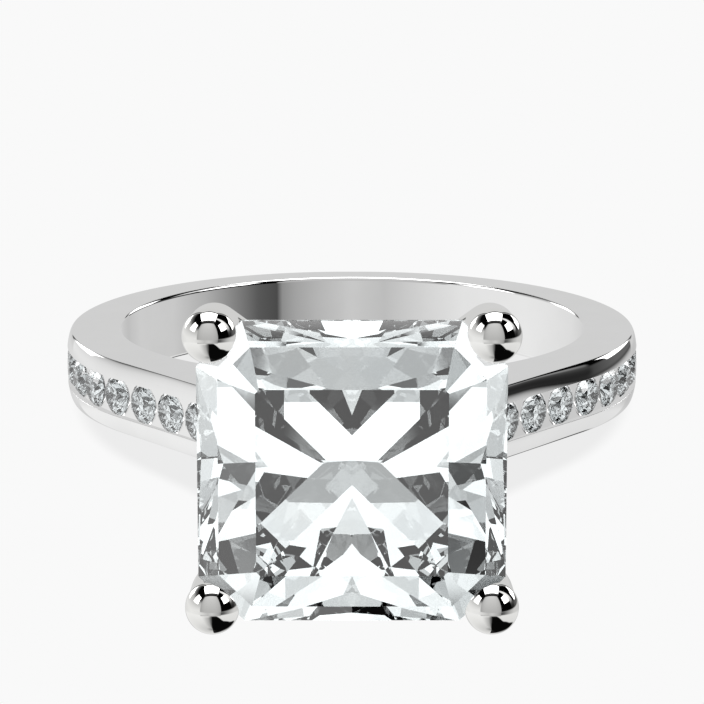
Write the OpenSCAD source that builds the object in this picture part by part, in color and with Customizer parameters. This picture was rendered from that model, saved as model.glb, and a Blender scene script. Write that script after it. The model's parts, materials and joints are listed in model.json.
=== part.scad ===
// A finger ring of polished white metal. Its band carries a channel of round brilliants down each side.
// Its straight shoulders rise to a head of four ball-tipped prongs, which hold one large square stone with
// cropped corners. It lies on its side, on its two lower prongs and the back edge of the band. The head
// faces -Y.

/* [Finger and band] */
// Diameter of the finger bore
bore_d = 16.5; // [15.5:0.1:17.5]
// Width of the band along the finger
band_w = 2.45; // [2.2:0.05:3]
// Metal between the bore and the face's outer edge, at the sides
side_wall = 1.66; // [1.5:0.02:2.2]
// How far each side's outer curve is set out from the middle
side_shift = 0.236; // [0.1:0.002:0.3]
// How far the outer curve is set toward the head
head_shift = 0.303; // [0.1:0.001:0.5]
// Rise of the rounded outer surface over its two edges
crest = 0.25; // [0.15:0.01:0.3]
// Rounding of the bore's two edges
bore_round = 0.15; // [0.05:0.01:0.3]
// Direction of the straight shoulders, measured from straight across
shoulder_slope = 50.88; // [48:0.1:54]

/* [Channel] */
// Width of the channel's mouth
mouth_w = 1.28; // [1.1:0.02:1.5]
// Diameter of each round stone
small_d = 1.38; // [1.2:0.02:1.44]
// Distance between neighbouring round stones
pitch = 1.545; // [1.5:0.005:1.7]
// Number of round stones on each side
small_count = 9; // [5:1:9]
// Place of the first round stone, from where the shoulder leaves the curve
first_along = 5.87; // [5:0.01:5.9]
// Depth of the round stones' girdles below the crest
small_sink = 0.25; // [0.22:0.01:0.4]

/* [Centre stone] */
// Width of the square stone
stone_w = 9.4; // [9:0.05:9.8]
// Length that each cropped corner takes from a side
stone_crop = 1.4; // [1.2:0.05:1.6]
// Width of the table
table_w = 5.77; // [5:0.05:6.5]
// Height of the crown
crown_h = 1.3; // [1:0.05:1.5]
// Depth of the pavilion
pavilion_h = 5.25; // [4.8:0.05:5.4]
// Thickness of the girdle
girdle_h = 0.16; // [0.08:0.02:0.3]
// Distance from the middle of the bore to the girdle
stone_out = 15.97; // [15.6:0.01:16.3]

/* [Head] */
// Radius of the prongs' ball tips
ball_r = 0.838; // [0.7:0.01:0.95]
// Sideways place of each ball tip
ball_side = 4.28; // [4.2:0.01:4.4]
// Height of each ball tip over the band's middle plane
ball_up = 4.26; // [4.2:0.01:4.4]
// Distance of each ball tip from the middle of the bore
ball_out = 16.1; // [15.9:0.01:16.3]
// Length of each prong's straight part behind its ball
straight_l = 1.4; // [1.2:0.05:1.6]
// Radius of a prong at its elbow
shaft_r = 0.8; // [0.6:0.01:0.82]
// Radius of a prong at its foot
foot_r = 0.6; // [0.5:0.01:0.65]
// Radius of the gallery rail's round bar
rail_r = 0.42; // [0.3:0.01:0.5]

/* [Hidden] */
small_names = [for (side = ["left", "right"]) for (i = [1:small_count]) str("channel_stone_", side, "_", i)];

bore_r = bore_d / 2;
half_w = band_w / 2;
side_r = bore_r + side_wall - side_shift;
// The surface leaves the band's curve at this angle, measured from +X.
leave = shoulder_slope - 90;
// The shoulders' surface lies this much inside the tangent, so that it crosses the curve cleanly.
tuck = 0.01;
// How deep the two parts of the band go in from the surface before the bore is cut
wall_in = 2.9;
shoulder_in = 4.9;
shoulder_l = 8.4;
// How far a shape runs into its neighbour, where two make one solid
overlap = 0.2;
// How far a cut runs past the surface that it opens
past = 1;
fine = 180;
section_step = 7.5;
round_fn = 48;

// The channel, as distances out from the face's edge
girdle_at = crest - small_sink;
clear = 0.03;
shelf_at = girdle_at - clear;
notch_at = girdle_at + 2 * clear;
end_room = 0.8;
last_along = first_along - (small_count - 1) * pitch;
girdle_path_r = side_r + girdle_at;
// Each round stone: heights as shares of its diameter, and widths as shares of its radius
small_r = small_d / 2;
small_crown = 0.15 * small_d;
small_pavilion = 0.43 * small_d;
small_girdle = 0.03;
small_table_share = 0.56;
small_star_share = 0.79;
small_half_share = 0.24;
seat_tip_r = 0.08;

// The head: a gap between the shoulders' ends, and prongs bent at an elbow, as [side, out, up]
bridge_out = 9.6;
notch_half = 1.25;
notch_spread = 0.55;
notch_l = 6;
elbow_in = 0.08;
elbow = [ball_side - elbow_in, ball_out - straight_l, ball_up - elbow_in];
foot = [1.3, 9.4, 1.0];
knuckle = 0.015;
rail_out = 12.6;
rail_share = (elbow[1] - rail_out) / (elbow[1] - foot[1]);
rail_at = elbow + rail_share * (foot - elbow);
stone_gap = 0.05;

// The rest on a flat surface, which the back edge of the band touches, and the lower prongs' elbows or balls.
// The lean is the angle of the plane through the back edge that touches the lower of the two.
back_edge = sqrt(side_r * side_r - side_shift * side_shift) - head_shift;
function lean_on(out, up, r) =
    let (reach = out + back_edge, drop = up - half_w)
    atan(drop / reach) + asin(r / norm([reach, drop]));
lean = max(lean_on(ball_out, ball_up, ball_r), lean_on(elbow[1], elbow[2], shaft_r + knuckle));
lift = back_edge * sin(lean) + half_w * cos(lean);
table_out = stone_out + girdle_h / 2 + crown_h;
front_y = -table_out * cos(lean) - table_w / 2 * sin(lean);
back_y = back_edge * cos(lean) + norm([crest * cos(lean), half_w * sin(lean)]);
middle_y = (front_y + back_y) / 2;

module rest_pose() {
    translate([0, -middle_y, lift]) rotate([-lean, 0, 0]) children();
}

module both_sides() {
    children();
    mirror([1, 0, 0]) children();
}

// The four corners of the head
module each_corner() {
    both_sides() {
        children();
        mirror([0, 0, 1]) children();
    }
}

// The frame where the right shoulder leaves the curve: +X points out of the band, and the shoulder runs
// along -Y.
module leave_frame() {
    translate([side_shift, -head_shift, 0]) rotate([0, 0, leave]) children();
}

// Moves what stands on +X, at the face's edge, to its place along the channel. Beyond zero is the shoulder.
module along_band(s) {
    if (s >= 0)
        leave_frame() translate([side_r, -s, 0]) children();
    else
        leave_frame() rotate([0, 0, -s / girdle_path_r * 180 / PI]) translate([side_r, 0, 0]) children();
}

// Section of the band's wall: x is the distance out from the face's edge, y runs along the finger. The outer
// side is half an ellipse.
module wall_section(depth) {
    outer = [for (a = [-90:section_step:90]) [crest * cos(a), half_w * sin(a)]];
    polygon(concat([[-depth, -half_w]], outer, [[-depth, half_w]]));
}

module side_curve() {
    translate([side_shift, -head_shift, 0]) rotate_extrude($fn = fine)
        translate([side_r, 0]) wall_section(wall_in);
}

module shoulder() {
    leave_frame() translate([side_r - tuck, overlap, 0]) rotate([90, 0, 0])
        linear_extrude(shoulder_l + overlap) wall_section(shoulder_in);
}

// The open space between the shoulders' ends
module head_gap() {
    top = bridge_out + notch_l;
    top_half = notch_half + notch_l * notch_spread;
    translate([0, 0, -half_w - past]) linear_extrude(band_w + 2 * past)
        polygon([[-notch_half, -bridge_out], [-top_half, -top], [top_half, -top], [notch_half, -bridge_out]]);
}

// The finger bore with rounded edges
module bore_cut() {
    round_at = [bore_r + bore_round, half_w - bore_round];
    arc = [for (a = [90:15:180]) round_at + bore_round * [cos(a), sin(a)]];
    upper = concat([[0, half_w + past], [bore_r + bore_round, half_w + past]], arc);
    lower = [for (i = [len(upper) - 1:-1:0]) [upper[i][0], -upper[i][1]]];
    rotate_extrude($fn = fine) polygon(concat(upper, lower));
}

// The channel: an open slot along the shoulder and round the side, with a shelf at the girdles
module channel_slot() {
    slot_h = 2 * past;
    start = first_along + end_room;
    turn = (-last_along + end_room) / girdle_path_r * 180 / PI;
    leave_frame() {
        translate([side_r + shelf_at - tuck, -start, -mouth_w / 2]) cube([slot_h, start + tuck, mouth_w]);
        rotate_extrude(angle = turn, $fn = fine)
            translate([side_r + shelf_at, -mouth_w / 2]) square([slot_h, mouth_w]);
    }
}

// The seat of one round stone: a notch for its girdle and a cone for its pavilion
module small_seat() {
    r = small_r + clear;
    bottom = shelf_at - small_pavilion - clear;
    rotate([0, 90, 0]) rotate_extrude($fn = round_fn)
        polygon([[0, notch_at], [r, notch_at], [r, shelf_at], [seat_tip_r, bottom], [0, bottom]]);
}

module all_seats() {
    for (i = [1:small_count]) along_band(first_along - (i - 1) * pitch) small_seat();
}

// A round bar with one end at each point, wide r1 at the first and r2 at the second
module bar(p, q, r1, r2) {
    d = q - p;
    translate(p) rotate([0, acos(d[2] / norm(d)), atan2(d[1], d[0])])
        cylinder(h = norm(d), r1 = r1, r2 = r2, $fn = round_fn);
}

module ball(p, r) {
    translate(p) sphere(r = r, $fn = round_fn);
}

function facing(p) = [p[0], -p[1], p[2]];

module prong() {
    tip = facing([ball_side, ball_out, ball_up]);
    bend = facing(elbow);
    ball(tip, ball_r);
    bar(tip, bend, shaft_r, shaft_r);
    ball(bend, shaft_r + knuckle);
    bar(bend, facing(foot), shaft_r, foot_r);
    ball(facing(foot), foot_r + knuckle);
}

// The square rail that ties the prongs together under the stone
module gallery_rail() {
    x = rail_at[0];
    z = rail_at[2];
    for (s = [-1, 1]) {
        bar([s * x, -rail_out, -z], [s * x, -rail_out, z], rail_r, rail_r);
        bar([-x, -rail_out, s * z], [x, -rail_out, s * z], rail_r, rail_r);
    }
}

// An eight-sided ring of points: a square of the given half width with its corners cropped, at height z
function cropped(half, crop, z) =
    let (near = half - crop)
    [[half, -near, z], [half, near, z], [near, half, z], [-near, half, z],
     [-half, near, z], [-half, -near, z], [-near, -half, z], [near, -half, z]];

// The centre stone's own sizes. Its table faces +Z here.
stone_half = stone_w / 2;
step_in = 0.66;
step_half = stone_half - step_in;
step_crop = 1.0;
step_h = 0.52 * crown_h;
table_crop = 0.12;
top_z = girdle_h / 2;
// The pavilion's ridge down the middle of each side: share of the half width, and share of the depth. It ends
// on the flat corner mains, which run from the cropped corners to the culet.
corner_far = (2 * stone_half - stone_crop) / sqrt(2);
main_share = 0.183;
ridge = [[0.92, 0.33], [0.55, 0.65], [main_share, 1 - main_share * stone_half / sqrt(2) / corner_far]];

module centre_stone_shape() {
    rings = concat(
        cropped(table_w / 2, table_crop, top_z + crown_h),
        cropped(step_half, step_crop, top_z + step_h),
        cropped(stone_half, stone_crop, top_z),
        cropped(stone_half, stone_crop, -top_z));
    turns = [[1, 0], [0, 1], [-1, 0], [0, -1]];
    ridges = [for (t = turns) for (p = ridge)
        [t[0] * p[0] * stone_half, t[1] * p[0] * stone_half, -top_z - p[1] * pavilion_h]];
    culet = [0, 0, -top_z - pavilion_h];
    n = len(ridge);
    low = len(rings) - 8;
    first = len(rings);
    last = first + 4 * n;
    table = [[7, 6, 5, 4, 3, 2, 1, 0]];
    steps = [for (k = [0:2]) for (i = [0:7])
        [8 * k + i, 8 * k + (i + 1) % 8, 8 * k + 8 + (i + 1) % 8, 8 * k + 8 + i]];
    sides = [for (q = [0:3]) [low + 2 * q, low + 2 * q + 1, first + q * n]];
    fans = [for (q = [0:3]) for (k = [0:n - 2])
        let (p = first + q * n + k)
        each [[low + 2 * q, p, p + 1], [low + 2 * q + 1, p + 1, p]]];
    mains = [for (q = [0:3])
        let (here = first + q * n + n - 1, beyond = first + (q + 1) % 4 * n + n - 1)
        [low + 2 * q + 1, low + (2 * q + 2) % 8, beyond, last, here]];
    polyhedron(concat(rings, ridges, [culet]), concat(table, steps, sides, fans, mains), convexity = 2);
}

// The stone's own shape, a little larger all over, to cut the prongs' seats with
module stone_seat() {
    scale(1 + stone_gap / stone_half) centre_stone_shape();
}

module stone_place() {
    translate([0, -stone_out, 0]) rotate([90, 0, 0]) children();
}

// A round brilliant with its table facing +X and its girdle at the place given by girdle_at
module round_brilliant() {
    table_r = small_table_share * small_r;
    star_r = small_star_share * small_r;
    half_r = small_half_share * small_r;
    half_step = cos(22.5);
    g = small_girdle / 2;
    // Each kite is flat: its side corners lie on the plane through its table corner and its girdle point.
    star_z = g + small_crown * (small_r - star_r * half_step) / (small_r - table_r);
    half_z = -g - small_pavilion * (1 - half_r * half_step / small_r);
    points = concat(
        [for (i = [0:7]) [table_r * cos(45 * i), table_r * sin(45 * i), g + small_crown]],
        [for (i = [0:7]) [star_r * cos(45 * i + 22.5), star_r * sin(45 * i + 22.5), star_z]],
        [for (i = [0:15]) [small_r * cos(22.5 * i), small_r * sin(22.5 * i), g]],
        [for (i = [0:15]) [small_r * cos(22.5 * i), small_r * sin(22.5 * i), -g]],
        [for (i = [0:7]) [half_r * cos(45 * i + 22.5), half_r * sin(45 * i + 22.5), half_z]],
        [[0, 0, -g - small_pavilion]]);
    table = [[7, 6, 5, 4, 3, 2, 1, 0]];
    stars = [for (i = [0:7]) [i, (i + 1) % 8, 8 + i]];
    kites = [for (i = [0:7]) [i, 8 + i, 16 + 2 * i, 8 + (i + 7) % 8]];
    upper = [for (i = [0:7]) each [
        [8 + i, 17 + 2 * i, 16 + 2 * i],
        [8 + i, 16 + (2 * i + 2) % 16, 17 + 2 * i]]];
    girdle = [for (i = [0:15]) [16 + i, 16 + (i + 1) % 16, 32 + (i + 1) % 16, 32 + i]];
    lower = [for (i = [0:7]) each [
        [48 + i, 32 + 2 * i, 33 + 2 * i],
        [48 + i, 33 + 2 * i, 32 + (2 * i + 2) % 16]]];
    mains = [for (i = [0:7]) [56, 48 + (i + 7) % 8, 32 + 2 * i, 48 + i]];
    translate([girdle_at, 0, 0]) rotate([0, 90, 0])
        polyhedron(points, concat(table, stars, kites, upper, girdle, lower, mains), convexity = 2);
}

module ring_setting() {
    color("gainsboro") rest_pose() difference() {
        union() {
            difference() {
                union() {
                    both_sides() side_curve();
                    both_sides() shoulder();
                }
                head_gap();
                both_sides() channel_slot();
                both_sides() all_seats();
            }
            each_corner() prong();
            gallery_rail();
        }
        bore_cut();
        stone_place() stone_seat();
    }
}

module centre_stone() {
    color("aliceblue") rest_pose() stone_place() centre_stone_shape();
}

module channel_stone(side, i) {
    color("azure") rest_pose() mirror([side == "left" ? 1 : 0, 0, 0])
        along_band(first_along - (i - 1) * pitch) round_brilliant();
}

ring_setting();
centre_stone();
for (side = ["left", "right"]) for (i = [1:small_count])
    channel_stone(side, i);
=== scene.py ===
import json
import math

import bpy
import numpy
from mathutils import Matrix


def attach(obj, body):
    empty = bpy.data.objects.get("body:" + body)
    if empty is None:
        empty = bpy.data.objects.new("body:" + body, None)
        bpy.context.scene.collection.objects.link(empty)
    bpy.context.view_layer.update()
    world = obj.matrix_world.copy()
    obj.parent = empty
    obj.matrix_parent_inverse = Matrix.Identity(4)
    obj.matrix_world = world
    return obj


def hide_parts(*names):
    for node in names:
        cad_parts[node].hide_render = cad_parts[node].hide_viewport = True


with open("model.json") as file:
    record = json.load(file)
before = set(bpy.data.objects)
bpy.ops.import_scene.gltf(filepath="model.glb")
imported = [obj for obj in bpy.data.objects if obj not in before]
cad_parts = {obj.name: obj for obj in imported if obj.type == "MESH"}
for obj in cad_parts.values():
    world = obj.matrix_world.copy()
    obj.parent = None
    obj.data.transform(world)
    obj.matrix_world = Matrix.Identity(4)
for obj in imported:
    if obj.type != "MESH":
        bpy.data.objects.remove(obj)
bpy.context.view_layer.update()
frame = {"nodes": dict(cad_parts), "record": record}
print("frame loaded:", len(frame["nodes"]), "nodes")

millimetre = 0.001  # in metres
metre = 1000        # in millimetres

# The ring's own frame: sideways, toward the back of the band, and along the finger. The head faces -back.
bore = frame["record"]["mounts"][0]
boreCentre = numpy.array(bore["pos_m"])
alongFinger = numpy.array(bore["axis"]) / numpy.linalg.norm(bore["axis"])
sideways = numpy.array([1.0, 0.0, 0.0])
towardBack = numpy.cross(alongFinger, sideways)
ringAxes = numpy.stack([sideways, towardBack, alongFinger])


def fromRing(points):
    # Ring place in mm to frame place in metres: centre of the bore plus each part along its axis.
    return boreCentre + millimetre * (numpy.asarray(points, dtype=float) @ ringAxes)


def linear(grey):
    # A screen grey of 0 to 255 as light, by the screen's own curve.
    share = grey / 255.0
    return share / 12.92 if share < 0.04045 else ((share + 0.055) / 1.055) ** 2.4


class Wire:
    # Wraps one socket of a node tree, so that shader maths reads as plain expressions.
    def __init__(self, tree, socket=None):
        self.tree = tree
        self.socket = socket

    def add(self, kind, settings=None, sockets=None, out=0):
        # Any node: its settings go first, then the values or links of its sockets. Gives back one output.
        node = self.tree.nodes.new(kind)
        for name, value in (settings or {}).items():
            if name == "stops":
                self.fillRamp(node.color_ramp, value)
            else:
                setattr(node, name, value)
        for key, value in (sockets or {}).items():
            if isinstance(value, Wire):
                self.tree.links.new(value.socket, node.inputs[key])
            else:
                node.inputs[key].default_value = value
        return Wire(self.tree, node.outputs[out])

    def fillRamp(self, ramp, stops):
        # Stops are places along the ramp with their greys
        while len(ramp.elements) < len(stops):
            ramp.elements.new(0.5)
        for element, (place, grey) in zip(ramp.elements, stops):
            element.position = place
            element.color = (grey, grey, grey, 1.0)

    def maths(self, operation, *values):
        return self.add("ShaderNodeMath", {"operation": operation}, dict(enumerate(values)))

    def __add__(self, other):
        return self.maths("ADD", self, other)

    def __radd__(self, other):
        return self.maths("ADD", other, self)

    def __sub__(self, other):
        return self.maths("SUBTRACT", self, other)

    def __rsub__(self, other):
        return self.maths("SUBTRACT", other, self)

    def __mul__(self, other):
        return self.maths("MULTIPLY", self, other)

    def __rmul__(self, other):
        return self.maths("MULTIPLY", other, self)

    def __truediv__(self, other):
        return self.maths("DIVIDE", self, other)

    def __neg__(self):
        return self.maths("MULTIPLY", self, -1.0)

    def __gt__(self, other):
        return self.maths("GREATER_THAN", self, other)

    def rise(self, low, high):
        # Smooth step: 0 up to low, 1 from high on.
        places = {0: self, 1: low, 2: high, 3: 0.0, 4: 1.0}
        return self.add("ShaderNodeMapRange", {"interpolation_type": "SMOOTHSTEP"}, places)

    def riseAt(self, place, soft):
        # The same step, from as far before the place as soft says to as far after it
        return self.rise(place - soft, place + soft)

    def between(self, low, high, soft):
        # 1 between low and high, with soft edges
        return self.riseAt(low, soft) * (1 - self.riseAt(high, soft))

    def mixColour(self, share, first, second):
        # First colour where the share is 0, second where it is 1. Colours are sockets 6 and 7, and output 2.
        places = {0: share, 6: first, 7: second}
        return self.add("ShaderNodeMix", {"data_type": "RGBA"}, places, 2)

    def along(self, axis):
        # Dot product with a fixed direction
        places = {0: self, 1: tuple(axis)}
        return self.add("ShaderNodeVectorMath", {"operation": "DOT_PRODUCT"}, places, "Value")


def mixOver(below, mask, above):
    # Below where the mask is 0, above where it is 1
    return below + mask * (above - below)


camera = {
    "place": (0.0, -98.487, 22.355),  # mm, in the ring's frame
    "down": 12.72,                    # degrees below level, in the ring's frame
    "lens": 143.80,                   # mm
    "sensor": 36.0,                   # mm wide
    "clip": (0.001, 20.0),            # m
}


def addCamera(values):
    # The camera looks along its own -Z. Forward is turned down from level, and upward is square to it.
    pitch = math.radians(values["down"])
    forward = numpy.array([0.0, math.cos(pitch), -math.sin(pitch)]) @ ringAxes
    upward = numpy.array([0.0, math.sin(pitch), math.cos(pitch)]) @ ringAxes
    turn = numpy.eye(4)
    turn[:3, 0] = sideways
    turn[:3, 1] = upward
    turn[:3, 2] = -forward
    turn[:3, 3] = fromRing(values["place"])
    lens = bpy.data.cameras.new("studioCamera")
    lens.lens = values["lens"]
    lens.sensor_width = values["sensor"]
    lens.sensor_fit = "HORIZONTAL"
    lens.clip_start, lens.clip_end = values["clip"]
    holder = bpy.data.objects.new("studioCamera", lens)
    holder.matrix_world = Matrix(turn.tolist())
    bpy.context.scene.collection.objects.link(holder)
    bpy.context.scene.camera = holder


addCamera(camera)
print("camera placed")

# Greys are screen greys. Angles are in degrees in the ring's frame: azimuth from the head's side, to the
# right, and elevation over the band's plane. Each soft is the half width of an edge.
studio = {
    "backdrop": 249,
    "gain": 1.06,                     # light for what the metal takes
    "lamp": 3.0,                      # light of a softbox, where 1 is white
    "softboxes": [
        {"azimuth": (-95, -66), "elevation": (18, 44)},
        {"azimuth": (-150, -127), "elevation": (6, 24)},
        {"azimuth": (58, 90), "elevation": (22, 47)},
        {"azimuth": (122, 150), "elevation": (6, 24)},
    ],
    "boxSoft": 1.2,
    # The ceiling's lamp and strip stand on a sheet overhead: sideways and backward for each unit of height.
    "ceiling": {"x": (-0.47, 0.41), "y": (-0.19, 0.68), "soft": 0.012, "above": 0.1},
    "dimStrip": {"x": (-0.5, 0.45), "y": (-0.36, -0.19), "softX": 0.02, "softY": 0.012, "above": 0.3,
                 "grey": 70},
    # The front wall is flat: sideways and upward for each unit ahead. It darkens toward its sides.
    "frontWall": {"left": -1.19, "leftSoft": 0.1, "right": 0.81, "rightSoft": 0.02,
                  "top": 2.15, "topSoft": 0.1, "low": -22, "lowSoft": 3,
                  "middle": -0.15, "reach": 1.05, "shade": 0.33, "ahead": 0.02},
    "backWall": {"from": 150, "soft": 1, "top": 48, "topSoft": 2, "low": (-40, -30), "grey": 205},
    "backEdge": {"azimuth": (152, 157), "soft": 1.5, "elevation": (-2, 4), "grey": 68},
    "tallPanel": {"azimuth": (91, 107), "elevation": (-2, 74), "soft": 3},
    "dusk": {"azimuth": (88, 135), "elevation": (-5, 9), "soft": 3, "grey": 98},
    "skirting": {"elevation": (-19, -7), "soft": 2.5},
    "middle": (-8, 2),                # azimuth over which the left side turns into the right side
    "lowFront": {"azimuth": (-50, -8), "top": (-30, -20), "grey": 165},
    # The dark floor starts before the middle and ends behind. Its far edge drops to the right, then climbs.
    "darkFloor": {"starts": (-18, 2), "ends": (145, 175), "edge": -18, "drop": 26, "dropsOver": (5, 65),
                  "climb": 10, "climbsOver": (100, 150), "soft": 2, "grey": 8},
    # Angle and grey, from straight down to straight up
    "leftSide": [(-90, 120), (-75, 200), (-50, 222), (-20, 236), (-3, 226), (5, 216), (12, 202),
                 (24, 182), (34, 90), (43, 4), (90, 0)],
    "rightSide": [(-90, 50), (-62, 10), (-58, 10), (-50, 214), (-15, 226), (-11, 205), (-4, 4), (90, 0)],
    "frontRise": [(-22, 176), (0, 180), (20, 188), (40, 196), (62, 205)],
    "tallRise": [(-5, 20), (4, 45), (10, 70), (14, 118), (20, 188), (29, 238), (40, 252), (66, 230),
                 (78, 60)],
    # Azimuth and grey, just below the horizon
    "around": [(-180, 203), (-150, 218), (-100, 231), (-60, 226), (-38, 210), (-17, 188), (0, 199),
               (19, 178), (30, 160), (37.5, 138), (38.5, 73), (50, 88), (64, 132), (82, 174), (105, 200),
               (137, 203), (155, 189), (180, 203)],
}
tiny = 0.001  # least divisor, so that no direction divides by nothing


def greyRamp(angle, reach, stops):
    # Greys given by angle, as a ramp from minus reach to reach
    places = [((stop + reach) / (2 * reach), linear(grey)) for stop, grey in stops]
    colour = angle.add("ShaderNodeValToRGB", {"stops": places}, {0: (angle + reach) / (2 * reach)})
    return colour.add("ShaderNodeSeparateColor", {}, {0: colour})


# The light that is seen through a stone: pale cells of a few tones, and cards that stand in mirror pairs at
# an azimuth and an elevation in degrees, with their half width, half height and grey. Toward the sides more
# and more cells are black. Behind the stone and far below it, where weaker rays end, the light is dim.
gemStudio = {
    "cell": (5, 4.5),                 # degrees, wide and high
    "firstCell": (-4, -93),           # where the counting of cells starts
    "tone": (0.62, 1.5),              # least and most light of a cell
    "white": 0.5,                     # the share of cells that are not of full light
    "blackCells": 0.8,                # greatest share of black cells
    "blackFrom": (44, 84),
    "dim": 0.5,
    "dimFrom": (95, 115),
    "dimBelow": (70, 80),
    "soft": 0.35,
    "cards": [
        {"at": (14, -27), "half": (7, 5), "grey": 0},
        {"at": (11.5, -5), "half": (5, 6), "grey": 10},
        {"at": (2, 1), "half": (7, 5), "grey": 40},
        {"at": (32, 15), "half": (5, 5), "grey": 187},
        {"at": (54, 32), "half": (6, 6), "grey": 20},
        {"at": (27, 0), "half": (3, 4), "grey": 190},
        {"at": (68, -19), "half": (4, 3), "grey": 225},
        {"at": (68, -28), "half": (4, 4), "grey": 150},
        {"at": (147, -14), "half": (7, 6), "grey": 245},
        {"at": (168, -20), "half": (7, 6), "grey": 255},
        {"at": (42, -3), "half": (3.5, 5), "grey": 60},
        {"at": (18, 8), "half": (4, 3), "grey": 60},
        {"at": (60, -44), "half": (4, 7), "grey": 90},
        {"at": (0, 34), "half": (6, 4), "grey": 20},
        {"at": (38, 44), "half": (8, 5), "grey": 60},
        {"at": (76, -6), "half": (5, 5), "grey": 30},
        {"at": (50, -19), "half": (3.5, 5), "grey": 90},
        {"at": (24, -38), "half": (4, 4), "grey": 40},
        {"at": (60, 16), "half": (3, 5), "grey": 150},
    ],
}


def gemLight(bench, turned, elevation, values):
    # Light of a direction: its cell's own chance gives the tone, and a card that stands there covers it.
    wide, high = values["cell"]
    firstColumn, firstRow = values["firstCell"]
    column = bench.maths("FLOOR", (turned - firstColumn) / wide)
    row = bench.maths("FLOOR", (elevation - firstRow) / high)
    cell = bench.add("ShaderNodeCombineXYZ", {}, {0: column, 1: row, 2: 0.0})
    chance = bench.add("ShaderNodeTexWhiteNoise", {"noise_dimensions": "3D"}, {"Vector": cell}, "Value")
    least, most = values["tone"]
    light = least + (most - least) * chance.rise(0, values["white"])
    black = chance > 1 - values["blackCells"] * turned.rise(*values["blackFrom"])
    light = light * (1 - black)
    light = light * (1 - values["dim"] * turned.rise(*values["dimFrom"]))
    light = light * (1 - values["dim"] * (-elevation).rise(*values["dimBelow"]))
    for card in values["cards"]:
        azimuth, height = card["at"]
        halfWide, halfHigh = card["half"]
        across = turned.between(azimuth - halfWide, azimuth + halfWide, values["soft"])
        upDown = elevation.between(height - halfHigh, height + halfHigh, values["soft"])
        light = mixOver(light, across * upDown, linear(card["grey"]))
    return light


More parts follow.
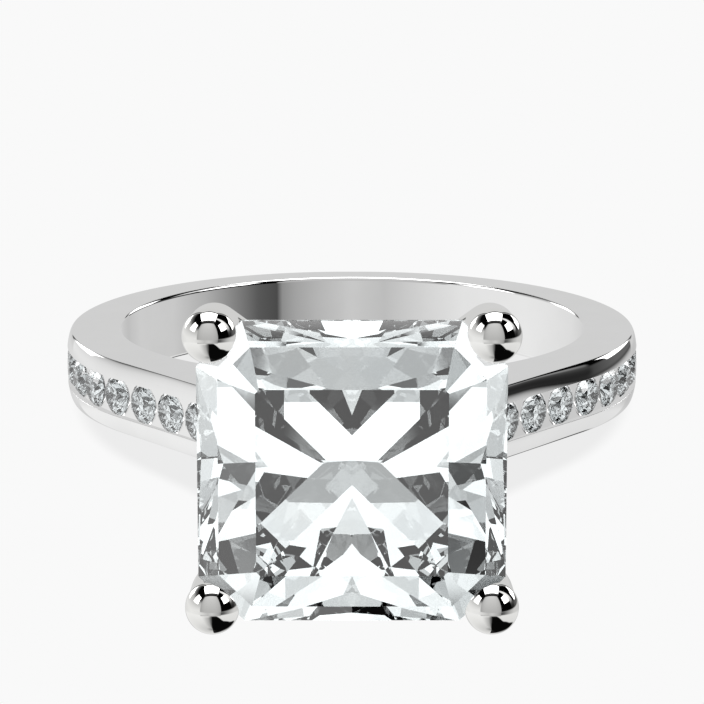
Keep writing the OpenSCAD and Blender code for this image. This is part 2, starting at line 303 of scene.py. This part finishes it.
def addStudio(values):
    # The light comes from all round: each direction gets the grey of the wall or lamp that stands there.
    world = bpy.data.worlds.new("studio")
    world.use_nodes = True
    world.node_tree.nodes.clear()
    bench = Wire(world.node_tree)
    toward = bench.add("ShaderNodeTexCoord", {}, {}, "Generated")
    x = toward.along(sideways)
    y = toward.along(towardBack)
    z = toward.along(alongFinger)
    azimuth = bench.maths("ARCTAN2", x, -y) * math.degrees(1)
    elevation = bench.maths("ARCSINE", z) * math.degrees(1)
    turned = bench.maths("ABSOLUTE", azimuth)

    left = greyRamp(elevation, 90, values["leftSide"])
    right = greyRamp(elevation, 90, values["rightSide"])
    toRight = azimuth.rise(*values["middle"])
    light = mixOver(left, toRight, right)
    lowFront = values["lowFront"]
    inLowFront = azimuth.rise(*lowFront["azimuth"]) * (1 - toRight)
    inLowFront = inLowFront * (1 - elevation.rise(*lowFront["top"]))
    light = mixOver(light, inLowFront, linear(lowFront["grey"]))
    floor = values["darkFloor"]
    farEdge = floor["edge"] - floor["drop"] * azimuth.rise(*floor["dropsOver"])
    farEdge = farEdge + floor["climb"] * azimuth.rise(*floor["climbsOver"])
    onFloor = azimuth.rise(*floor["starts"]) * (1 - azimuth.rise(*floor["ends"]))
    onFloor = onFloor * (1 - elevation.riseAt(farEdge, floor["soft"]))
    light = mixOver(light, onFloor, linear(floor["grey"]))
    dusk = values["dusk"]
    inDusk = azimuth.rise(*dusk["azimuth"]) * elevation.between(*dusk["elevation"], dusk["soft"])
    light = bench.maths("MAXIMUM", light, inDusk * linear(dusk["grey"]))

    # The wall's grey goes by elevation, and shade = 1 - share * (way off the middle / reach) ^ 3.
    front = values["frontWall"]
    ahead = bench.maths("MAXIMUM", -y, tiny)
    wallX = x / ahead
    wallZ = z / ahead
    wall = greyRamp(elevation, 90, values["frontRise"])
    offMiddle = bench.maths("ABSOLUTE", (wallX - front["middle"]) / front["reach"])
    shade = 1 - front["shade"] * bench.maths("POWER", offMiddle, 3.0)
    onWall = wallX.riseAt(front["left"], front["leftSoft"])
    onWall = onWall * (1 - wallX.riseAt(front["right"], front["rightSoft"])) * (-y > front["ahead"])
    onWall = onWall * (1 - wallZ.riseAt(front["top"], front["topSoft"]))
    onWall = onWall * elevation.riseAt(front["low"], front["lowSoft"])
    light = mixOver(light, onWall, wall * shade)

    back = values["backWall"]
    behind = turned.riseAt(back["from"], back["soft"]) * (1 - elevation.riseAt(back["top"], back["topSoft"]))
    backEdge = values["backEdge"]
    onEdge = turned.between(*backEdge["azimuth"], backEdge["soft"]) * elevation.rise(*backEdge["elevation"])
    backLight = mixOver(linear(back["grey"]) + 0 * z, onEdge, linear(backEdge["grey"]))
    light = mixOver(light, behind * elevation.rise(*back["low"]), backLight)

    # Just below the horizon the walls' greys run on round the whole studio.
    skirting = values["skirting"]
    low = elevation.between(*skirting["elevation"], skirting["soft"])
    light = mixOver(light, low, greyRamp(azimuth, 180, values["around"]))

    above = bench.maths("MAXIMUM", z, tiny)
    overX = x / above
    overY = y / above
    strip = values["dimStrip"]
    inStrip = overY.between(*strip["y"], strip["softY"]) * overX.between(*strip["x"], strip["softX"])
    light = mixOver(light, inStrip * (z > strip["above"]), linear(strip["grey"]))
    ceiling = values["ceiling"]
    onCeiling = overX.between(*ceiling["x"], ceiling["soft"]) * overY.between(*ceiling["y"], ceiling["soft"])
    light = mixOver(light, onCeiling * (z > ceiling["above"]), values["lamp"])
    panel = values["tallPanel"]
    onPanel = azimuth.between(*panel["azimuth"], panel["soft"])
    onPanel = onPanel * elevation.between(*panel["elevation"], panel["soft"])
    light = mixOver(light, onPanel, greyRamp(elevation, 90, values["tallRise"]))
    for box in values["softboxes"]:
        across = azimuth.between(*box["azimuth"], values["boxSoft"])
        upDown = elevation.between(*box["elevation"], values["boxSoft"])
        light = mixOver(light, across * upDown, values["lamp"])
    light = light * values["gain"]

    throughStone = bench.add("ShaderNodeLightPath", {}, {}, "Is Transmission Ray")
    seen = bench.add("ShaderNodeLightPath", {}, {}, "Is Camera Ray")
    light = mixOver(light, throughStone, gemLight(bench, turned, elevation, gemStudio))
    light = mixOver(light, seen, linear(values["backdrop"]))
    shine = bench.add("ShaderNodeBackground", {}, {"Color": (1, 1, 1, 1), "Strength": light})
    output = world.node_tree.nodes.new("ShaderNodeOutputWorld")
    world.node_tree.links.new(shine.socket, output.inputs["Surface"])
    bpy.context.scene.world = world


addStudio(studio)
print("studio lit")


def newMaterial(name):
    # An empty material with a surface output. Gives back the material, its bench and its output node.
    material = bpy.data.materials.new(name)
    material.use_nodes = True
    material.node_tree.nodes.clear()
    output = material.node_tree.nodes.new("ShaderNodeOutputMaterial")
    return material, Wire(material.node_tree), output


floorPlan = {
    "half": 1.5,                      # m
    "grey": 249,
    # the shadow is painted into the floor's colour, since the sheet only glows
    "shadow": 236,                    # grey of the shadow
    "shadowShift": 3.0,               # mm toward the back
    "shadowRadius": 10.1,             # mm
    "shadowSoft": 0.4,                # mm
    "shoulderNormal": (0.733, -0.680),  # sideways and toward the back
}


def addFloor(values):
    # A pale, evenly glowing sheet with a painted soft shadow shaped like the band: round at the back,
    # straight along the shoulders.
    # With p from its middle, the shadow's edge is |p| = radius, or p . shoulder normal = radius at the head.
    half = values["half"]
    sheet = bpy.data.meshes.new("paleFloor")
    corners = [(-half, -half, 0), (half, -half, 0), (half, half, 0), (-half, half, 0)]
    sheet.from_pydata(corners, [], [(0, 1, 2, 3)])
    floor = bpy.data.objects.new("paleFloor", sheet)
    bpy.context.scene.collection.objects.link(floor)
    material, bench, output = newMaterial("palePaper")
    place = bench.add("ShaderNodeTexCoord", {}, {}, "Object")
    x = bench.maths("ABSOLUTE", place.along((metre, 0, 0)))
    y = place.along((0, metre, 0)) - (metre * boreCentre[1] + values["shadowShift"])
    normal = values["shoulderNormal"]
    onShoulder = (x * normal[1] - y * normal[0]) > 0
    reach = mixOver(bench.maths("SQRT", x * x + y * y), onShoulder, x * normal[0] + y * normal[1])
    # painted shadow: the glowing sheet's colour is greyer inside the band's shape
    lit = reach.riseAt(values["shadowRadius"], values["shadowSoft"])
    grey = mixOver(linear(values["shadow"]) + 0 * x, lit, linear(values["grey"]))
    colour = bench.add("ShaderNodeCombineColor", {}, {0: grey, 1: grey, 2: grey})
    glow = bench.add("ShaderNodeEmission", {}, {"Color": colour, "Strength": 1.0})
    material.node_tree.links.new(glow.socket, output.inputs["Surface"])
    sheet.materials.append(material)
    floor.visible_glossy = False
    floor.visible_transmission = False


addFloor(floorPlan)
print("floor laid")

bandFinish = {
    "light": (0.955, 0.955, 0.952, 1),
    "dark": (0.94, 0.94, 0.936, 1),
    "roughness": (0.018, 0.04),       # least and most
    "clouds": 0.9,                    # noise waves per mm
    "detail": 3.0,
    "colourTurns": (0.35, 0.65),      # noise over which dark turns into light
    "roughnessTurns": (0.3, 0.7),
}
headFinish = dict(bandFinish, light=(0.958, 0.955, 0.935, 1), dark=(0.943, 0.94, 0.918, 1))
stoneFinish = {
    "tint": (0.92, 0.985, 1.0, 1),
    "clear": (0.95, 1.0, 1.0, 1),
    "ior": 2.42,
    "clouds": 0.5,                    # noise waves per mm
    "detail": 2.0,
    "colourTurns": (0.3, 0.7),        # noise over which tint turns into clear
}
# The channel stones' tint and clear are greyer than the centre stone's: painted shade that darkens the small
# stones, over their own slight teal tint
channelPaintedShadeFinish = dict(stoneFinish, tint=(0.58, 0.62, 0.63, 1), clear=(0.7, 0.74, 0.75, 1))


def metalMaterial(name, values):
    # Polished metal: a slow noise moves its colour and its roughness a little, as hand polishing does.
    material, bench, output = newMaterial(name)
    place = bench.add("ShaderNodeTexCoord", {}, {}, "Object")
    waves = {"Vector": place, "Scale": metre * values["clouds"], "Detail": values["detail"]}
    cloud = bench.add("ShaderNodeTexNoise", {}, waves)
    colour = bench.mixColour(cloud.rise(*values["colourTurns"]), values["dark"], values["light"])
    least, most = values["roughness"]
    roughness = least + (most - least) * cloud.rise(*values["roughnessTurns"])
    settings = {"Metallic": 1.0, "Base Color": colour, "Roughness": roughness}
    shader = bench.add("ShaderNodeBsdfPrincipled", {}, settings)
    material.node_tree.links.new(shader.socket, output.inputs["Surface"])
    return material


def stoneMaterial(name, values):
    # Clear cut stone. The metal's mirror rays pass straight through it, so that the metal mirrors only the
    # studio: a mirror ray passes where it meets a front, and where it has passed a front before.
    material, bench, output = newMaterial(name)
    place = bench.add("ShaderNodeTexCoord", {}, {}, "Object")
    waves = {"Vector": place, "Scale": metre * values["clouds"], "Detail": values["detail"]}
    cloud = bench.add("ShaderNodeTexNoise", {}, waves)
    colour = bench.mixColour(cloud.rise(*values["colourTurns"]), values["tint"], values["clear"])
    settings = {"Base Color": colour, "Transmission Weight": 1.0, "Roughness": 0.0, "IOR": values["ior"]}
    cut = bench.add("ShaderNodeBsdfPrincipled", {}, settings)
    clear = bench.add("ShaderNodeBsdfTransparent")
    mirrored = bench.add("ShaderNodeLightPath", {}, {}, "Is Glossy Ray")
    passed = bench.add("ShaderNodeLightPath", {}, {}, "Transparent Depth")
    behind = bench.add("ShaderNodeNewGeometry", {}, {}, "Backfacing")
    through = mirrored * bench.maths("MAXIMUM", 1 - behind, passed > 0.5)
    surface = bench.add("ShaderNodeMixShader", {}, {0: through, 1: cut, 2: clear})
    material.node_tree.links.new(surface.socket, output.inputs["Surface"])
    return material


def signedVolume(points, faces):
    # Sum over fan triangles of each face: first corner . (next corner x corner after) / 6
    total = 0.0
    for size in sorted({len(face) for face in faces}):
        corners = points[numpy.array([face for face in faces if len(face) == size])]
        for k in range(1, size - 1):
            cross = numpy.cross(corners[:, k], corners[:, k + 1])
            total += float((corners[:, 0] * cross).sum()) / 6
    return total


sharpFrom = 35  # degrees between two faces


def placePiece(name, points, faces, material):
    # A new closed piece: ring places become frame places, faces point outward, and it rides on the ring.
    places = fromRing(points)
    if signedVolume(places - places.mean(axis=0), faces) < 0:
        faces = [face[::-1] for face in faces]
    mesh = bpy.data.meshes.new(name)
    mesh.from_pydata(places.tolist(), [], faces)
    mesh.shade_smooth()
    mesh.set_sharp_from_angle(angle=math.radians(sharpFrom))
    mesh.materials.append(material)
    piece = bpy.data.objects.new(name, mesh)
    bpy.context.scene.collection.objects.link(piece)
    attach(piece, "root")
    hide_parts("ring_setting")
    piece.visible_glossy = False
    piece.visible_transmission = False


def gridFaces(rows, columns, closedRows=True):
    # Quads of a grid whose point (i, j) is number i * columns + j. The last column joins the first, and the
    # last row joins the first where asked.
    i = numpy.arange(rows if closedRows else rows - 1)[:, None]
    j = numpy.arange(columns)[None, :]
    nextRow = (i + 1) % rows * columns
    nextColumn = (j + 1) % columns
    row = i * columns
    corners = numpy.stack([row + j, row + nextColumn, nextRow + nextColumn, nextRow + j], axis=-1)
    return corners.reshape(-1, 4)


def smoothStep(value, low, high):
    # 0 up to low, 1 from high on, and 3 * share^2 - 2 * share^3 of the way between
    share = numpy.clip((value - low) / (high - low), 0, 1)
    return share * share * (3 - 2 * share)


def direction(angle):
    # Unit vectors (cos a, sin a), with the angle from sideways to toward the back
    return numpy.stack([numpy.cos(angle), numpy.sin(angle)], axis=-1)


# Millimetres and degrees in the ring's frame
band = {
    "boreRadius": 8.25,
    "halfWidth": 1.225,
    "boreRound": 0.13,
    "curveRadius": 9.674,
    "curveCentre": (0.236, -0.303),
    "shoulderAngle": -39.12,
    "crest": 0.25,                    # rise of the rounded outer side over its edges
    "flatCrest": 0.15,                # the same at the head's end of the shoulder
    "flattens": (-0.5, 3.5),          # along the shoulder
    "crestStarts": (2.7, 3.1),        # sideways, at the front
    "bridgeOut": 9.6,                 # from the bore's middle
    "notchHalf": 1.25,
    "notchSpread": 0.55,              # sideways for each unit outward
    "cornerRound": 0.25,
    "spacing": 0.075,
    "opensOver": 0.002,               # along the shoulder, between the last shut and the first open point
    "opensTurn": 0.0002,              # the same on the curve, as an angle in radians
    "closeRow": 0.004,                # rows of points this close to an edge keep its shading on the edge
    "sideRow": 0.03,                  # one more row on the flat side, in from its edge
    "boreRow": 0.55,                  # and one on the bore, up from its middle
    "bridgePoints": 12,
    "innerCornerPoints": 10,
    "gapPoints": 30,
    "outerCornerPoints": 18,
    "headEndPoints": 12,
    "boreRoundPoints": 9,
    "crestPoints": 26,
}
channel = {
    "halfMouth": 0.64,
    "mouthRound": 0.008,
    "mouthStarts": 0.15,              # angle in radians where the round of the mouth starts
    "mouthPoints": 6,
    "wallRow": 0.4,
    "shelf": -0.03,                   # heights are over the band's outline
    "girdle": 0.0,
    "trough": -0.8,
    "firstStone": 5.87,               # along the shoulder, from the end of the curve toward the head
    "pitch": 1.545,
    "stones": 9,
    "endRoom": 0.8,
    "seatRadius": 0.72,               # at the floor
    "seatTip": 0.08,                  # radius of the flat at the seat's bottom
    "seatBottom": -0.653,
    "sideTuck": 0.02,                 # the floor's reach into the walls
    "endTuck": 0.01,
    "floorPoints": (420, 45),         # along and across
}
leave = math.radians(band["shoulderAngle"])
leaveNormal = direction(leave)
leavePoint = numpy.array(band["curveCentre"]) + band["curveRadius"] * leaveNormal
shoulderWay = numpy.array([leaveNormal[1], -leaveNormal[0]])  # toward the head
girdlePathRadius = band["curveRadius"] + channel["girdle"]
channelStart = channel["firstStone"] + channel["endRoom"]
channelEnd = channel["firstStone"] - (channel["stones"] - 1) * channel["pitch"] - channel["endRoom"]


def halfOutline(values):
    # Right half of the band's outline, from the bridge under the stone round to the back: the bridge, the
    # gap's side, the straight shoulder and the arc, with round corners. Gives points, the angle of each
    # outward normal, and whether the channel is open there.
    radius = values["cornerRound"]
    bridgeY = -values["bridgeOut"]
    notchWay = numpy.array([values["notchSpread"], -1.0])
    notchWay = notchWay / numpy.linalg.norm(notchWay)
    innerCorner = numpy.array([values["notchHalf"], bridgeY])
    # The gap's side meets the shoulder where innerCorner + a * notchWay = leavePoint + b * shoulderWay.
    sides = numpy.stack([notchWay, -shoulderWay], axis=1)
    notchLong, shoulderLong = numpy.linalg.solve(sides, leavePoint - innerCorner)
    outerCorner = leavePoint + shoulderLong * shoulderWay
    normalBridge = -math.pi / 2
    normalNotch = math.atan2(-notchWay[0], notchWay[1])
    innerTurn = (normalNotch - normalBridge) / 2
    outerTurn = (leave - normalNotch) / 2
    innerCut = radius * abs(math.tan(innerTurn))
    outerCut = radius * abs(math.tan(outerTurn))
    spread = numpy.linspace

    x = spread(0, innerCorner[0] - innerCut, values["bridgePoints"])
    places = numpy.stack([x, numpy.full_like(x, bridgeY)], axis=1)
    pieces = [(places, numpy.full_like(x, normalBridge), 0 * x)]
    angles = spread(normalBridge, normalNotch, values["innerCornerPoints"])[1:]
    centre = numpy.array([innerCorner[0] - innerCut, bridgeY]) + radius * direction(normalBridge)
    pieces.append((centre - radius * direction(angles), angles, 0 * angles))
    steps = spread(innerCut, notchLong - outerCut, values["gapPoints"])[1:]
    pieces.append((innerCorner + steps[:, None] * notchWay, numpy.full_like(steps, normalNotch), 0 * steps))
    angles = spread(normalNotch, leave, values["outerCornerPoints"])[1:]
    centre = outerCorner - outerCut * notchWay - radius * direction(normalNotch)
    pieces.append((centre + radius * direction(angles), angles, 0 * angles))
    firstStep = shoulderLong - outerCut
    before = spread(firstStep, channelStart + values["opensOver"], values["headEndPoints"])[1:]
    after = spread(channelStart, 0, int(channelStart / values["spacing"]))
    steps = numpy.concatenate([before, after])
    isOpen = (steps <= channelStart).astype(float)
    pieces.append((leavePoint + steps[:, None] * shoulderWay, numpy.full_like(steps, leave), isOpen))
    endAngle = leave - channelEnd / girdlePathRadius
    opening = spread(leave, endAngle, int(-channelEnd / values["spacing"]))[1:]
    # The arc ends at its top, and from there a short flat leads to the middle of the back.
    closedSteps = int((math.pi / 2 - endAngle) * values["curveRadius"] / values["spacing"])
    closed = spread(endAngle + values["opensTurn"], math.pi / 2, closedSteps)
    angles = numpy.concatenate([opening, closed])
    places = numpy.array(values["curveCentre"]) + values["curveRadius"] * direction(angles)
    pieces.append((places, angles, (angles <= endAngle).astype(float)))
    points, normals, isOpen = (numpy.concatenate([piece[k] for piece in pieces]) for k in range(3))
    points[-1, 0] = 0
    return points, normals, isOpen


def sideBySide(rows, *parts):
    # Columns of numbers put side by side, where a part of one row is the same in every row
    parts = [numpy.atleast_2d(part) for part in parts]
    return numpy.concatenate([numpy.broadcast_to(part, (rows, part.shape[1])) for part in parts], axis=1)


def bandSkin(values, groove):
    # A closed profile carried round the band's outline. On the bore side its points stand at a radius from
    # the bore's middle. On the outer side they stand at height = crest * cos(a) over the outline and at
    # z = half width * sin(a), which is half an ellipse. Over the channel the profile drops into a trough.
    points, normals, isOpen = halfOutline(values)
    mirrored = points[-2:0:-1] * [-1, 1]
    base = numpy.concatenate([points, mirrored])
    outAngle = numpy.concatenate([normals, math.pi - normals[-2:0:-1]])
    opened = numpy.concatenate([isOpen, isOpen[-2:0:-1]])[:, None]
    outward = direction(outAngle)
    radial = base / numpy.linalg.norm(base, axis=1, keepdims=True)
    half = values["halfWidth"]
    # The crest is full on the curve, lower at the head's end of the shoulder, and nothing in the gap there.
    side = numpy.stack([numpy.abs(base[:, 0]), base[:, 1]], axis=1)
    toHead = (side - leavePoint) @ shoulderWay
    lowered = (values["crest"] - values["flatCrest"]) * smoothStep(toHead, *values["flattens"])
    inFront = smoothStep(side[:, 0], *values["crestStarts"])
    crest = (values["crest"] - lowered) * numpy.where(side[:, 1] > 0, 1.0, inFront)
    crest = crest[:, None]

    close = values["closeRow"]
    soft = values["boreRound"]
    wall = values["boreRadius"]
    turn = numpy.linspace(math.pi, math.pi / 2, values["boreRoundPoints"])
    boreR = wall + soft + soft * numpy.cos(turn)
    boreZ = half - soft + soft * numpy.sin(turn)
    boreR = numpy.concatenate([[wall, wall, wall], boreR, [wall + soft + close]])
    boreZ = numpy.concatenate([[0, values["boreRow"], half - soft - close], boreZ, [half]])

    mouth = groove["halfMouth"]
    lip = groove["mouthRound"]
    lipAngle = math.asin((mouth + lip) / half)
    crestAngle = numpy.linspace(math.pi / 2, lipAngle, values["crestPoints"])[None, :]
    crestZ = half * numpy.sin(crestAngle)
    crestH = crest * numpy.cos(crestAngle)
    # Where the channel opens, a small round leads down its wall to the trough. Elsewhere the crest runs on.
    rows = len(base)
    lipTurn = numpy.linspace(groove["mouthStarts"], -math.pi / 2, groove["mouthPoints"])[None, :]
    lipH = crestH[:, -1:] - lip
    mouthH = lipH + lip * numpy.cos(lipTurn)
    mouthZ = mouth + lip + lip * numpy.sin(lipTurn)
    trough = groove["trough"]
    openH = sideBySide(rows, mouthH, lipH - close, lipH - groove["wallRow"], trough, trough)
    openZ = sideBySide(rows, mouthZ, mouth, mouth, mouth, 0)
    shutAngle = numpy.linspace(lipAngle, 0, openH.shape[1] + 1)[None, 1:]
    shutH = crest * numpy.cos(shutAngle)
    shutZ = half * numpy.sin(shutAngle)
    centreH = shutH + opened * (openH - shutH)
    centreZ = shutZ + opened * (openZ - shutZ)
    outerH = sideBySide(rows, -values["sideRow"], -close, crestH, centreH)
    outerZ = sideBySide(rows, half, half, crestZ, centreZ)

    innerXY = radial[:, None, :] * boreR[None, :, None]
    innerZ = numpy.broadcast_to(boreZ, innerXY.shape[:2])
    outerXY = base[:, None, :] + outward[:, None, :] * outerH[:, :, None]
    upperXY = numpy.concatenate([innerXY, outerXY], axis=1)
    upperZ = numpy.concatenate([innerZ, outerZ], axis=1)
    # The lower half repeats the upper one, without the two points that lie on the middle plane.
    loopXY = numpy.concatenate([upperXY, upperXY[:, -2:0:-1]], axis=1)
    loopZ = numpy.concatenate([upperZ, -upperZ[:, -2:0:-1]], axis=1)
    loop = numpy.concatenate([loopXY, loopZ[:, :, None]], axis=2)
    return loop.reshape(-1, 3), gridFaces(loop.shape[0], loop.shape[1]).tolist()


def channelPlaces(s, height):
    # Place s along the channel and height over the outline: straight on the shoulder where s is above 0, and
    # turned about the curve's centre below 0.
    angle = leave + numpy.maximum(-s, 0) / girdlePathRadius
    onCurve = numpy.array(band["curveCentre"]) + (band["curveRadius"] + height)[..., None] * direction(angle)
    return onCurve + numpy.maximum(s, 0)[..., None] * shoulderWay


def channelFloor(groove, mirror):
    # A flat floor with a cone-shaped seat under each stone: height = shelf - drop * (seat radius - distance)
    # inside the seat radius. Its underside and its ends are closed.
    countAlong, countAcross = groove["floorPoints"]
    s = numpy.linspace(channelEnd - groove["endTuck"], channelStart + groove["endTuck"], countAlong)
    reach = groove["halfMouth"] + groove["sideTuck"]
    z = numpy.linspace(-reach, reach, countAcross)
    along, across = numpy.meshgrid(s, z, indexing="ij")
    number = numpy.round((groove["firstStone"] - along) / groove["pitch"])
    number = numpy.clip(number, 0, groove["stones"] - 1)
    away = numpy.hypot(along - groove["firstStone"] + number * groove["pitch"], across)
    slope = groove["seatRadius"] - groove["seatTip"]
    drop = (groove["shelf"] - groove["seatBottom"]) / slope
    height = groove["shelf"] - drop * numpy.clip(groove["seatRadius"] - away, 0, slope)
    under = numpy.full((len(s), 2), groove["trough"] + groove["sideTuck"])
    height = numpy.concatenate([height, under], axis=1)
    along = numpy.concatenate([along, along[:, :2]], axis=1)
    across = numpy.concatenate([across, across[:, -1:], across[:, :1]], axis=1)
    places = channelPlaces(along, height)
    points = numpy.concatenate([places, across[:, :, None]], axis=2).reshape(-1, 3)
    points = points * [mirror, 1, 1]
    rows, columns = along.shape
    faces = gridFaces(rows, columns, closedRows=False).tolist()
    faces.append(list(range(columns))[::-1])
    faces.append(list(range((rows - 1) * columns, rows * columns)))
    return points, faces


# Millimetres in the ring's frame, for the upper right prong. The others are its mirror images.
head = {
    "foot": (1.3, -9.4, 1.0),
    "elbow": (4.20, -14.7, 4.18),
    "tip": (4.28, -16.1, 4.26),
    "footRadius": 0.6,
    "shaftRadius": 0.8,
    "ballRadius": 0.838,
    "elbowBend": 0.42,
    "railOut": 12.6,
    "railRadius": 0.42,
    "railBend": 0.3,
    "seatGap": 0.05,
    "prongPoints": {"foot": 14, "leg": 46, "bend": 22, "neck": 16, "ball": 40, "around": 72},
    "railPoints": {"corner": 9, "side": 24, "around": 40},
}


def sweep(path, radius, across, around, tips):
    # A round tube: point = path + radius * (cos v * normal + sin v * across). Across is a fixed direction,
    # square to the path's plane. With tips, both ends run to a point and are closed there.
    way = numpy.gradient(path, axis=0)
    if not tips:
        way = numpy.roll(path, -1, axis=0) - numpy.roll(path, 1, axis=0)
    way = way / numpy.linalg.norm(way, axis=1, keepdims=True)
    normal = numpy.cross(across, way)
    normal = normal / numpy.linalg.norm(normal, axis=1, keepdims=True)
    turn = numpy.linspace(0, 2 * math.pi, around, endpoint=False)
    circle = numpy.cos(turn)[None, :, None] * normal[:, None, :] + numpy.sin(turn)[None, :, None] * across
    tube = path[:, None, :] + radius[:, None, None] * circle
    if not tips:
        return tube.reshape(-1, 3), gridFaces(len(path), around).tolist()
    middle = tube[1:-1]
    rows = len(middle)
    faces = gridFaces(rows, around, closedRows=False).tolist()
    points = numpy.concatenate([middle.reshape(-1, 3), path[:1], path[-1:]])
    first = rows * around
    spots = numpy.arange(around)
    after = (spots + 1) % around
    faces += numpy.stack([spots, numpy.full(around, first), after], axis=1).tolist()
    last = (rows - 1) * around
    faces += numpy.stack([last + spots, last + after, numpy.full(around, first + 1)], axis=1).tolist()
    return points, faces


def prongShape(values, side, level):
    # Path: straight from the foot to the elbow, round the bend on an arc, and straight to the ball. Radius:
    # sqrt(foot radius^2 - distance^2) before the foot, growing along the leg, the same along the neck, and
    # sqrt(ball radius^2 - distance^2) round the tip.
    counts = values["prongPoints"]
    foot, elbow, tip = (numpy.array(values[key]) for key in ("foot", "elbow", "tip"))
    legLong = numpy.linalg.norm(elbow - foot)
    leg = (elbow - foot) / legLong
    neck = (tip - elbow) / numpy.linalg.norm(tip - elbow)
    across = numpy.cross(leg, neck)
    across = across / numpy.linalg.norm(across)
    turn = math.acos(float(leg @ neck))
    bend = values["elbowBend"]
    cut = bend * math.tan(turn / 2)
    inward = numpy.cross(across, leg)
    centre = elbow - cut * leg + bend * inward
    angles = numpy.linspace(0, turn, counts["bend"])[:, None]
    arc = centre + bend * (numpy.sin(angles) * leg - numpy.cos(angles) * inward)
    footRadius = values["footRadius"]
    ends = numpy.sin(numpy.linspace(math.pi / 2, 0, counts["foot"]))[:, None]
    start = foot - footRadius * ends * leg
    legSteps = numpy.linspace(0, 1, counts["leg"])[1:-1, None]
    legPart = foot + legSteps * (elbow - cut * leg - foot)
    neckStart = elbow + cut * neck
    ball = values["ballRadius"]
    joinBack = math.sqrt(ball ** 2 - values["shaftRadius"] ** 2)
    neckSteps = numpy.linspace(0, 1, counts["neck"])[1:-1, None]
    neckPart = neckStart + neckSteps * (tip - joinBack * neck - neckStart)
    ballAngles = numpy.linspace(-math.asin(joinBack / ball), math.pi / 2, counts["ball"])[:, None]
    ballPart = tip + ball * numpy.sin(ballAngles) * neck
    path = numpy.concatenate([start, legPart, arc, neckPart, ballPart])
    down = numpy.clip((path - foot) @ leg, 0, legLong) / legLong
    radius = footRadius + (values["shaftRadius"] - footRadius) * down
    radius[:counts["foot"]] = footRadius * numpy.sqrt(1 - ends[:, 0] ** 2)
    toTip = (ballPart - tip) @ neck
    radius[-counts["ball"]:] = numpy.sqrt(numpy.clip(ball ** 2 - toTip ** 2, 0, None))
    points, faces = sweep(path, radius, across, counts["around"], True)
    return points * [side, 1, level], faces


def railShape(values):
    # A closed path of four straight sides and four quarter circles, where it meets the prongs' legs: point =
    # corner's middle + bend * (cos a, sin a)
    counts = values["railPoints"]
    foot, elbow = numpy.array(values["foot"]), numpy.array(values["elbow"])
    share = (elbow[1] + values["railOut"]) / (elbow[1] - foot[1])
    x, y, z = elbow + share * (foot - elbow)
    bend = values["railBend"]
    corners = numpy.array([[1, 1], [-1, 1], [-1, -1], [1, -1]]) * [x - bend, z - bend]
    parts = []
    for k in range(4):
        angles = k * math.pi / 2 + numpy.linspace(0, math.pi / 2, counts["corner"])
        arc = corners[k] + bend * direction(angles)
        after = corners[(k + 1) % 4] + bend * direction(angles[-1:])
        line = arc[-1] + numpy.linspace(0, 1, counts["side"])[1:-1, None] * (after - arc[-1])
        parts += [arc, line]
    flat = numpy.concatenate(parts)
    path = numpy.stack([flat[:, 0], numpy.full(len(flat), y), flat[:, 1]], axis=1)
    radius = numpy.full(len(path), values["railRadius"])
    return sweep(path, radius, numpy.array([0.0, 1.0, 0.0]), counts["around"], False)


def stonePlanes():
    # The centre stone's facets as planes in the ring's frame, in mm: outward normal and distance
    mesh = frame["nodes"]["centre_stone"].data
    normals = numpy.array([face.normal[:] for face in mesh.polygons])
    places = numpy.array([mesh.vertices[face.vertices[0]].co[:] for face in mesh.polygons])
    normals = normals @ ringAxes.T
    places = (places - boreCentre) @ ringAxes.T * metre
    return normals, (normals * places).sum(axis=1)


def seatUnder(points, gap):
    # Presses the stone's seat into a piece: what is inside the stone, or nearer than the gap, moves straight
    # out through the nearest facet.
    normals, distances = stonePlanes()
    reach = points @ normals.T - distances
    nearest = reach.argmax(axis=1)
    depth = gap - reach[numpy.arange(len(points)), nearest]
    return points + numpy.clip(depth, 0, None)[:, None] * normals[nearest]


bandMetal = metalMaterial("polishedBand", bandFinish)
headMetal = metalMaterial("polishedHead", headFinish)
channelStone = stoneMaterial("channelStone", channelPaintedShadeFinish)
centreStone = stoneMaterial("centreStone", stoneFinish)
for name, node in frame["nodes"].items():
    if name != "ring_setting":
        for slot in node.material_slots:
            slot.material = centreStone if name == "centre_stone" else channelStone
print("stones dressed")

placePiece("bandSkin", *bandSkin(band, channel), bandMetal)
print("band made")
for label, side in (("Left", -1), ("Right", 1)):
    placePiece("channelFloor" + label, *channelFloor(channel, side), bandMetal)
    for height, level in (("Upper", 1), ("Lower", -1)):
        points, faces = prongShape(head, side, level)
        placePiece("prong" + height + label, seatUnder(points, head["seatGap"]), faces, headMetal)
points, faces = railShape(head)
placePiece("galleryRail", seatUnder(points, head["seatGap"]), faces, headMetal)
print("head made")

view = bpy.context.scene
view.view_settings.view_transform = "Standard"
view.view_settings.look = "None"
view.cycles.max_bounces = 32
view.cycles.transmission_bounces = 32
view.cycles.glossy_bounces = 12
view.cycles.diffuse_bounces = 2
view.cycles.caustics_refractive = False
view.cycles.caustics_reflective = False
view.cycles.sample_clamp_indirect = 10.0
